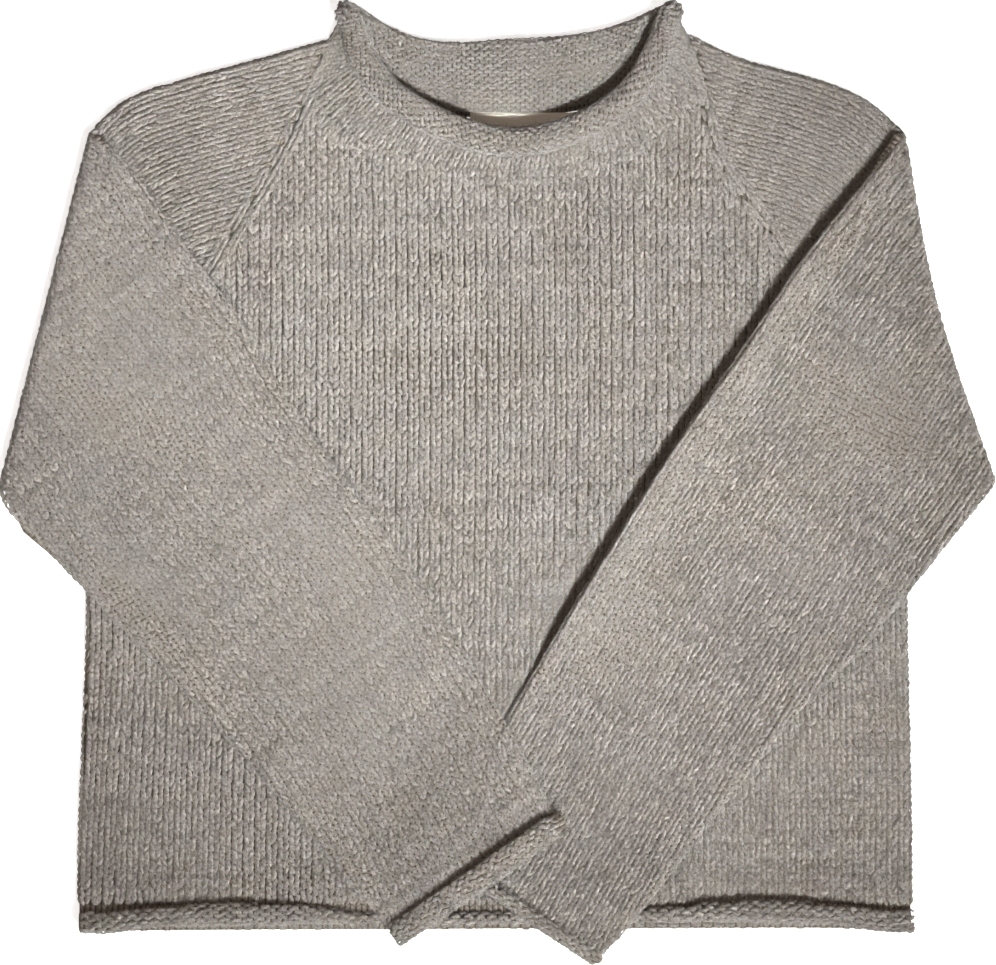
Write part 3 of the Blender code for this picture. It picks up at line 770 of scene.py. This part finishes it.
def grains(region, columns, rows, tones, leg, gauge, looseness):
    """Vertices and tones of one grain of yarn for each stitch. The yarn bends with the region."""
    count = len(columns)
    size = 1 + looseness * random.normal(0, 0.08, count)
    columns = columns + looseness * random.normal(0, 0.035, count)
    rows = rows + looseness * random.normal(0, 0.055, count)
    lift = looseness * random.normal(0, 0.12, count)
    middles, normals, widths = [], [], []
    for across, along, _, _ in leg:
        column, row = columns + across, rows + along
        middle = region(column, row)[0]
        right = (region(column + STEP, row)[0] - middle) / STEP
        up = region(column, row + STEP)[0] - middle
        middles.append(middle)
        normals.append(unit(np.cross(right, up)))
        widths.append(np.linalg.norm(right, axis=1))
    middle, normal = np.stack(middles, 1), np.stack(normals, 1)
    normal *= np.sign(np.median(normal[..., 2]))
    scale = np.clip(np.stack(widths, 1) / gauge[0], 0.8, 1.15) * gauge[0] / COLUMN_NORM
    expected = np.linalg.norm((leg[-1, :2] - leg[0, :2]) * gauge)
    stretch = np.linalg.norm(middle[:, -1] - middle[:, 0], axis=1) / expected
    middle = middle + (leg[:, 2] * scale + lift[:, None])[..., None] * normal
    tangent = unit(np.gradient(middle, axis=1))
    sideways = unit(np.cross(normal, tangent))
    upward = np.cross(tangent, sideways)
    radius = leg[:, 3] * scale * size[:, None]
    ring = (np.sin(SECTION)[:, None] * sideways[:, :, None]
            + np.cos(SECTION)[:, None] * upward[:, :, None])
    places = middle[:, :, None] + ring * radius[..., None, None]
    places[..., 2] = np.maximum(places[..., 2], FLOOR_LEVEL)
    good = (stretch > MIN_STRETCH) & (stretch < MAX_STRETCH)
    return places[good], (tones + random.normal(0, 0.45, count))[good]


def knit_mesh(name, parts):
    """Joins the grains in parts to meshes of at most TRIANGLE_LIMIT triangles."""
    places = np.concatenate([part[0] for part in parts])
    tones = np.concatenate([part[1] for part in parts])
    order = np.argsort(places[:, 2, 1, 0], kind="stable")
    places, tones = places[order], tones[order]
    count, ring_count, section_count = places.shape[:3]
    per_grain = 2 * (ring_count - 1) * (section_count - 1)
    pieces = max(1, math.ceil(count * per_grain / TRIANGLE_LIMIT))
    made = []
    for index, chosen in enumerate(np.array_split(np.arange(count), pieces)):
        label = name if pieces == 1 else f"{name}_{index + 1}"
        made.append(grain_object(label, places[chosen], tones[chosen]))
    return made


def grain_object(name, places, tones):
    count, ring_count, section_count = places.shape[:3]
    per_grain = ring_count * section_count
    firsts = np.arange(ring_count - 1)[:, None] * section_count + np.arange(section_count - 1)
    corners = firsts.reshape(-1, 1) + (0, 1, section_count + 1, section_count)
    faces = (np.arange(count)[:, None, None] * per_grain + corners).reshape(-1, 4)
    return mesh_object(name, places.reshape(-1, 3), faces, np.repeat(tones, per_grain))


def placed(name, data):
    """A new object with this data, in the scene."""
    made = bpy.data.objects.new(name, data)
    bpy.context.scene.collection.objects.link(made)
    return made


def mesh_object(name, places, faces, tones):
    """An object of the faces, with a tone at each vertex and a plan of it as its UV map."""
    points = (places + CENTRE_SHIFT) * MILLIMETRE
    mesh = bpy.data.meshes.new(name)
    mesh.vertices.add(len(points))
    mesh.vertices.foreach_set("co", points.ravel())
    mesh.loops.add(faces.size)
    mesh.loops.foreach_set("vertex_index", faces.ravel().astype(np.int32))
    mesh.polygons.add(len(faces))
    loop_starts = np.arange(0, faces.size, faces.shape[1], dtype=np.int32)
    mesh.polygons.foreach_set("loop_start", loop_starts)
    mesh.update(calc_edges=True)
    mesh.shade_smooth()
    tone = mesh.attributes.new("tone", "FLOAT", "POINT")
    tone.data.foreach_set("value", tones)
    low, high = points.min(0), points.max(0)
    flat = (points[faces.ravel(), :2] - low[:2]) / max(high[0] - low[0], high[1] - low[1])
    bake = mesh.uv_layers.new(name="OFBake")
    bake.data.foreach_set("uv", flat.ravel())
    return placed(name, mesh)


FIBRE_LENGTH = 5.5
FIBRE_HALF_WIDTH = 0.055


def fibres(name, places, share):
    """Loose fibres of the wool: thin bent ribbons that rise from the stitches."""
    count = int(len(places) * share)
    chosen = places[random.integers(0, len(places), count)]
    ring = random.integers(1, places.shape[1] - 1, count)
    index = np.arange(count)
    starts = chosen[index, ring, random.integers(1, 3, count)]
    inside = (chosen[index, ring, 0] + chosen[index, ring, -1]) / 2
    outward = unit(starts - inside + 1e-6)
    heading = unit(np.cross(outward, random.normal(0, 1, (count, 3))))
    bend = unit(heading + 0.6 * random.normal(0, 1, (count, 3)))
    bend -= outward * (bend * outward).sum(1, keepdims=True) * 0.8
    length = FIBRE_LENGTH * random.uniform(0.5, 1.2, count)[:, None]
    rise = random.uniform(0.15, 0.9, count)[:, None]
    path = np.stack([
        starts - 0.2 * outward,
        starts + 0.5 * length * heading + rise * outward,
        starts + 0.5 * length * (heading + bend) + rise * 0.8 * outward,
    ], 1)
    path[..., 2] = np.maximum(path[..., 2], FLOOR_LEVEL)
    aside = unit(np.cross(outward, heading))[:, None] * FIBRE_HALF_WIDTH
    left, right = path[:, :2] + aside, path[:, :2] - aside
    points = np.concatenate([left, right, path[:, 2:]], 1).reshape(-1, 3)
    faces = np.array([(0, 1, 3), (0, 3, 2), (1, 4, 3)])
    faces = (np.arange(count)[:, None, None] * 5 + faces[None]).reshape(-1, 3)
    return mesh_object(name, points, faces, np.repeat(random.normal(0.3, 1, count), 5))


def lattice(first_column, last_column, first_row, last_row):
    columns, rows = np.meshgrid(np.arange(first_column, last_column + 1),
                                np.arange(first_row, last_row + 1))
    return columns.ravel() + 0.5, rows.ravel().astype(float)


def lay(region, stitches, gauge, legs, looseness):
    columns, rows = stitches
    keep = region(columns, rows)[1]
    columns, rows = columns[keep], rows[keep]
    tones = row_tones(columns, rows)
    return [grains(region, columns, rows, tones, leg, gauge, looseness) for leg in legs]


def knit(region, stitches, gauge, looseness=1.0):
    return lay(region, stitches, gauge, (KNIT_LEG, KNIT_LEG * np.array([-1, 1, 1, 1])), looseness)


def purl(region, stitches, gauge, looseness=1.0):
    return lay(region, stitches, gauge, (PURL_HEAD, PURL_FOOT), looseness)


# Materials


def set_inputs(made, inputs):
    for key, value in inputs.items():
        made.inputs[key.replace("_", " ")].default_value = value
    return made


def node(tree, kind, **inputs):
    return set_inputs(tree.nodes.new(kind), inputs)


def shaded(name, **inputs):
    """A new material, its tree and its shader with these inputs."""
    material = bpy.data.materials.new(name)
    material.use_nodes = True
    tree = material.node_tree
    return material, tree, set_inputs(tree.nodes["Principled BSDF"], inputs)


def ramp(tree, factor, *stops):
    """The colour of a ramp between two stops of a position and a colour."""
    made = tree.nodes.new("ShaderNodeValToRGB")
    for element, (position, colour) in zip(made.color_ramp.elements, stops):
        element.position = position
        element.color = (*colour, 1)
    tree.links.new(factor, made.inputs["Fac"])
    return made.outputs["Color"]


def sums(tree, operation, *values):
    """The outcome of a math node on numbers and other nodes' outputs."""
    made = tree.nodes.new("ShaderNodeMath")
    made.operation = operation
    for index, value in enumerate(values):
        if isinstance(value, (int, float)):
            made.inputs[index].default_value = value
        else:
            tree.links.new(value, made.inputs[index])
    return made.outputs[0]


def add_bump(tree, shader, height, strength, distance):
    bump = node(tree, "ShaderNodeBump", Strength=strength, Distance=distance)
    tree.links.new(height, bump.inputs["Height"])
    tree.links.new(bump.outputs["Normal"], shader.inputs["Normal"])


WARM_TINT, COOL_TINT = (1.015, 1.0, 0.982), (0.985, 1.0, 1.015)


def wool_material(name, pale, dark, tone_strength):
    """Heather wool: flecked fibres, tones that differ from stitch to stitch, and a soft bump."""
    material, tree, shader = shaded(
        name, Roughness=0.92, Specular_IOR_Level=0.25, Sheen_Weight=0.16, Sheen_Roughness=0.55,
        Sheen_Tint=(0.95, 0.93, 0.9, 1))
    link = tree.links.new
    place = tree.nodes.new("ShaderNodeTexCoord")

    flecks = node(tree, "ShaderNodeTexNoise", Scale=620.0, Detail=5.0, Roughness=0.65)
    link(place.outputs["Object"], flecks.inputs["Vector"])
    fleck_ramp = ramp(tree, flecks.outputs["Fac"], (0.32, dark), (0.66, pale))

    patches = node(tree, "ShaderNodeTexNoise", Scale=38.0, Detail=3.0, Roughness=0.6)
    link(place.outputs["Object"], patches.inputs["Vector"])
    patch_ramp = ramp(tree, patches.outputs["Fac"], (0.3, WARM_TINT), (0.7, COOL_TINT))

    blend = tree.nodes.new("ShaderNodeMix")
    blend.data_type = "RGBA"
    blend.blend_type = "MULTIPLY"
    blend.inputs["Factor"].default_value = 1.0
    link(fleck_ramp, blend.inputs["A"])
    link(patch_ramp, blend.inputs["B"])

    tone = tree.nodes.new("ShaderNodeAttribute")
    tone.attribute_name = "tone"
    strength = sums(tree, "MULTIPLY_ADD", tone.outputs["Fac"], tone_strength, 1.0)
    toned = tree.nodes.new("ShaderNodeVectorMath")
    toned.operation = "SCALE"
    link(blend.outputs["Result"], toned.inputs[0])
    link(strength, toned.inputs["Scale"])
    link(toned.outputs["Vector"], shader.inputs["Base Color"])

    fibres = node(tree, "ShaderNodeTexNoise", Scale=1500.0, Detail=3.0, Roughness=0.6)
    link(place.outputs["Object"], fibres.inputs["Vector"])
    add_bump(tree, shader, fibres.outputs["Fac"], 0.55, 0.0004)
    return material


def knit_base_painted_shade_material(name, pale, dark):
    """The fabric under the stitches: the stitches' wool painted darker, as painted shade in the
    gaps between the stitches, with the knitting as a bump.
    """
    material, tree, shader = shaded(name, Roughness=0.95, Specular_IOR_Level=0.2)
    link = tree.links.new
    stitches = tree.nodes.new("ShaderNodeUVMap")
    stitches.uv_map = "stitches"
    parts = tree.nodes.new("ShaderNodeSeparateXYZ")
    link(stitches.outputs["UV"], parts.inputs["Vector"])

    inside = sums(tree, "FRACT", parts.outputs["X"])
    centred = sums(tree, "ABSOLUTE", sums(tree, "SUBTRACT", inside, 0.5))
    leg = sums(tree, "SINE", sums(tree, "MULTIPLY", centred, 2 * math.pi))
    slant = sums(tree, "MULTIPLY", centred, 1.3)
    slanted = sums(tree, "FRACT", sums(tree, "SUBTRACT", parts.outputs["Y"], slant))
    row = sums(tree, "POWER", sums(tree, "SINE", sums(tree, "MULTIPLY", slanted, math.pi)), 0.5)
    height = sums(tree, "MULTIPLY", sums(tree, "ABSOLUTE", leg), row)
    # Painted shade: the knitting's hollows are coloured darker than its raised legs
    link(ramp(tree, height, (0.05, dark), (0.6, pale)), shader.inputs["Base Color"])
    add_bump(tree, shader, height, 0.8, 0.0012)
    return material


PALE = (0.335, 0.314, 0.287)
DARK = (0.172, 0.157, 0.139)
wool = wool_material("wool_body", PALE, DARK, 0.055)
wool_band = wool_material("wool_band", (0.325, 0.308, 0.283), (0.170, 0.157, 0.139), 0.05)
# The base's colours are darker than the stitches' wool: painted shade for the gaps between
# stitches
base_wool_painted_shade = knit_base_painted_shade_material("wool_base_painted_shade", (0.255, 0.227, 0.193), (0.115, 0.097, 0.078))


# The fabric under the stitches


BASE_INSET = 0.05
FOLDED_LEVEL = 6.5
# The neck stands a little more open than the solids have it, so the label shows
OPENING_MIDDLE, OPENING_SPREAD = 14.0, 48.0
OPENING_DIP, OPENING_RISE = 2.2, 0.4
RIM_START, RIM_EASE, RIM_END, RIM_LEVEL = 192.0, 22.0, 222.0, 6.3
FOOT_START, FOOT_END = 219.0, 226.0
# An elbow's corner is pushed out under its stitches, and so is what is this near to it
ELBOW_REACH = 17.0


def base_piece(name, gauge, turn):
    """A copy of the node's form, a little inside it, with its knitting's columns as a UV map."""
    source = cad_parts[name].data
    mesh = source.copy()
    mesh.name = name + "_base"
    piece = placed(mesh.name, mesh)
    weld = piece.modifiers.new("weld", "WELD")
    weld.merge_threshold = 0.00001
    depsgraph = bpy.context.evaluated_depsgraph_get()
    welded = bpy.data.meshes.new_from_object(piece.evaluated_get(depsgraph))
    piece.modifiers.clear()
    piece.data = welded
    welded.name = name + "_base"
    count = len(welded.vertices)
    places, normals = np.empty(count * 3), np.empty(count * 3)
    welded.vertices.foreach_get("co", places)
    welded.vertices.foreach_get("normal", normals)
    places = places.reshape(-1, 3) - normals.reshape(-1, 3) * BASE_INSET * MILLIMETRE
    if name in ("front", "back"):
        x, y = places[:, 0] / MILLIMETRE, places[:, 1] / MILLIMETRE
        places[:, 0] += flare(x, y) * MILLIMETRE
    if name == "neckband":
        x, y, z = (places / MILLIMETRE - CENTRE_SHIFT).T
        near = np.exp(-((x - OPENING_MIDDLE) / OPENING_SPREAD) ** 2)
        rim = near * smooth_step((y - RIM_START) / RIM_EASE) * (y < RIM_END) * (z > RIM_LEVEL)
        foot = near * (y < FOOT_END) * (y > FOOT_START) * (z < RIM_LEVEL)
        places[:, 1] += (OPENING_RISE * foot - OPENING_DIP * rim) * MILLIMETRE
    for shape in (RIGHT_SLEEVE, LEFT_SLEEVE):
        if name == shape["node"]:
            plan = places[:, :2] / MILLIMETRE - CENTRE_SHIFT[:2]
            folded = places[:, 2] > FOLDED_LEVEL * MILLIMETRE
            places[:, 2] += np.where(folded, edge_lift(shape, plan), 0) * MILLIMETRE
            x, y, *push = shape["elbow"]
            near = np.exp(-((plan - (x, y)) ** 2).sum(1, keepdims=True) / ELBOW_REACH**2)
            places[:, :2] += near * push * MILLIMETRE
    welded.vertices.foreach_set("co", places.ravel())
    for layer in list(welded.uv_layers):
        welded.uv_layers.remove(layer)
    corners = np.empty(len(welded.loops), np.int32)
    welded.loops.foreach_get("vertex_index", corners)
    cosine, sine = math.cos(math.radians(turn)), math.sin(math.radians(turn))
    x, y = places[corners, 0] / MILLIMETRE, places[corners, 1] / MILLIMETRE
    u = (x * cosine + y * sine) / gauge[0]
    v = (-x * sine + y * cosine) / gauge[1]
    layer = welded.uv_layers.new(name="stitches")
    layer.data.foreach_set("uv", np.column_stack([u, v]).ravel())
    welded.shade_smooth()
    welded.materials.clear()
    welded.materials.append(base_wool_painted_shade)
    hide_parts(name)
    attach(piece, "root")
    return piece


FIBRE_SHARE = 2.2


def add_knit(name, parts, material):
    """The stitches in parts, with loose fibres over them."""
    made = knit_mesh(name, parts)
    places = np.concatenate([part[0] for part in parts])
    made.append(fibres(name + "_fibres", places, FIBRE_SHARE))
    for piece in made:
        piece.data.materials.append(material)
        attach(piece, "root")
    return made


# Each base, with the gauge of its knitting and how far its columns lean
BASES = (("back", BODY_GAUGE, 0), ("front", BODY_GAUGE, 0), ("sleeve_left", SLEEVE_GAUGE, 65),
         ("sleeve_right", SLEEVE_GAUGE, -65), ("neckband", BAND_GAUGE, 0))
bases = {name: base_piece(name, gauge, turn) for name, gauge, turn in BASES}

front_knit = add_knit("front_knit", knit(body_region, lattice(-39, 38, 0, 112), BODY_GAUGE), wool)
sleeve_knit = {}
for shape in (RIGHT_SLEEVE, LEFT_SLEEVE):
    label = shape["node"]
    folded = knit(sleeve_region(shape), lattice(-2, 34, -2, 132), SLEEVE_GAUGE)
    shoulder = knit(shoulder_region(shape), lattice(-2, 32, -4, 50), SLEEVE_GAUGE)
    sleeve_knit[label] = add_knit(label + "_knit", folded + shoulder, wool)
    cuff = purl(cuff_region(shape), lattice(-1, 22, 0, 9), CUFF_GAUGE)
    sleeve_knit[label] += add_knit(label + "_cuff", cuff, wool_band)

# The rows of the raglans where a decrease leaves a hole
RAGLAN_HOLES = (2, 4, 7, 10, 14, 19)
ridges = []
for line, shape in zip(raglans, (RIGHT_SLEEVE, LEFT_SLEEVE)):
    columns, rows = lattice(-1, 0, 0, 48)
    whole = ~((columns < 0) & np.isin(rows, RAGLAN_HOLES))
    ridges += knit(ridge_region(line, front_field), (columns[whole], rows[whole]), SLEEVE_GAUGE)
front_knit += add_knit("raglan_ridges", ridges, wool)

hem = purl(hem_region, lattice(-37, 36, 0, 8), HEM_GAUGE)
front_knit += add_knit("hem_front", hem, wool_band)
back_hem = purl(back_hem_region, lattice(-37, 36, 0, 3), HEM_GAUGE)
back_knit = add_knit("hem_back", back_hem, wool_band)

band = knit(knit_band_region, lattice(0, BAND_COLUMNS - 1, -1, 9), BAND_GAUGE, 0.7)
purls = purl(purl_band_region, lattice(0, BAND_COLUMNS - 1, 1, 18), BAND_GAUGE, 0.7)
band_knit = add_knit("neckband_knit", band, wool_band)
band_knit += add_knit("neckband_purl", purls, wool_band)


# The label


# The tape's cream weave, made paler than its own colour: painted light, for the light that the
# front roll's shadow keeps off it
LABEL_DARK_WITH_PAINTED_LIGHT, LABEL_PALE_WITH_PAINTED_LIGHT = (0.82, 0.78, 0.69), (0.92, 0.88, 0.79)


def label_material():
    material, tree, shader = shaded("label_tape", Roughness=0.6)
    place = tree.nodes.new("ShaderNodeTexCoord")
    weave = node(tree, "ShaderNodeTexWave", Scale=900.0, Distortion=0.6, Detail=2.0)
    tree.links.new(place.outputs["Object"], weave.inputs["Vector"])
    colour = ramp(tree, weave.outputs["Fac"], (0.0, LABEL_DARK_WITH_PAINTED_LIGHT), (1.0, LABEL_PALE_WITH_PAINTED_LIGHT))
    tree.links.new(colour, shader.inputs["Base Color"])
    add_bump(tree, shader, weave.outputs["Fac"], 0.3, 0.0001)
    return material


LABEL_RISE, LABEL_BOW = 0.0048, 0.0006


def label_piece():
    """The blank tape, slightly bowed, inside the back of the neck."""
    low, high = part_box("neck_label")
    across, deep = 24, 8
    rows = []
    for layer in (0, 1):
        for row in range(deep + 1):
            for column in range(across + 1):
                u, v = column / across, row / deep
                x = low[0] + (high[0] - low[0]) * u
                y = low[1] + (high[1] - low[1]) * v + LABEL_RISE
                bow = LABEL_BOW * math.sin(math.pi * u) * math.sin(math.pi * v)
                z = (high[2] if layer else low[2]) + bow
                rows.append((x, y, z))
    faces = []
    width = across + 1
    size = width * (deep + 1)
    for row in range(deep):
        for column in range(across):
            a = row * width + column
            faces.append((a + size, a + 1 + size, a + 1 + width + size, a + width + size))
            faces.append((a, a + width, a + 1 + width, a + 1))
    rim = list(range(across)) + [across + r * width for r in range(deep)]
    rim += [size - 1 - c for c in range(across)] + [(deep - r) * width for r in range(deep)]
    for index, a in enumerate(rim):
        b = rim[(index + 1) % len(rim)]
        faces.append((a, b, b + size, a + size))
    mesh = bpy.data.meshes.new("label_tape")
    mesh.from_pydata(rows, [], faces)
    mesh.validate()
    mesh.shade_smooth()
    mesh.materials.append(label_material())
    piece = placed("label_tape", mesh)
    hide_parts("neck_label")
    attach(piece, "root")
    return piece


label = label_piece()


# The floor, lights and camera


# The floor glows a little, so that it is as white beside the sweater as in the photo
FLOOR_GLOW = 0.7


def add_floor():
    mesh = bpy.data.meshes.new("floor")
    mesh.from_pydata([(-6, -6, 0), (6, -6, 0), (6, 6, 0), (-6, 6, 0)], [], [(0, 1, 2, 3)])
    floor = placed("floor", mesh)
    material, _, _ = shaded(
        "floor", Base_Color=(0.93, 0.93, 0.93, 1), Roughness=0.9, Emission_Color=(1, 1, 1, 1),
        Emission_Strength=FLOOR_GLOW)
    mesh.materials.append(material)


def add_light(name, place, target, size, power, spread=180.0, colour=(1.0, 1.0, 1.0)):
    data = bpy.data.lights.new(name, "AREA")
    data.color = colour
    data.shape = "DISK"
    data.size = size
    data.energy = power
    data.spread = math.radians(spread)
    light = placed(name, data)
    light.location = place
    light.rotation_euler = (Vector(target) - Vector(place)).to_track_quat("-Z", "Y").to_euler()


KEY_PLACE = (1.55, -2.4, 3.9)
KEY_COLOUR = (0.98, 1.0, 1.02)

add_floor()
add_light("key", KEY_PLACE, (0.0, 0.0, 0.0), 1.3, 76.0, 180.0, KEY_COLOUR)
add_light("pool", KEY_PLACE, (-0.04, 0.09, 0.0), 0.6, 3.1, 12.0, KEY_COLOUR)
add_light("overhead", (-0.3, 0.3, 2.6), (0.0, 0.1, 0.0), 1.6, 5.6)

world = bpy.data.worlds.new("studio")
bpy.context.scene.world = world
world.use_nodes = True
world.node_tree.nodes["Background"].inputs["Color"].default_value = (1.0, 0.66, 0.42, 1)
world.node_tree.nodes["Background"].inputs["Strength"].default_value = 0.13
bpy.context.scene.view_settings.view_transform = "Standard"

# The photo's frame: 996 pixels of 0.6135 mm across, seen from straight above
CAMERA_HEIGHT = 4.0
FRAME_WIDTH = 996 * 0.6135 * MILLIMETRE
camera_data = bpy.data.cameras.new("camera")
camera_data.sensor_fit = "HORIZONTAL"
camera_data.sensor_width = 36.0
camera_data.lens = 36.0 * (CAMERA_HEIGHT - 0.006) / FRAME_WIDTH
camera_data.clip_end = 50.0
camera = placed("camera", camera_data)
camera.location = (0.0001, -0.0003, CAMERA_HEIGHT)
bpy.context.scene.camera = camera
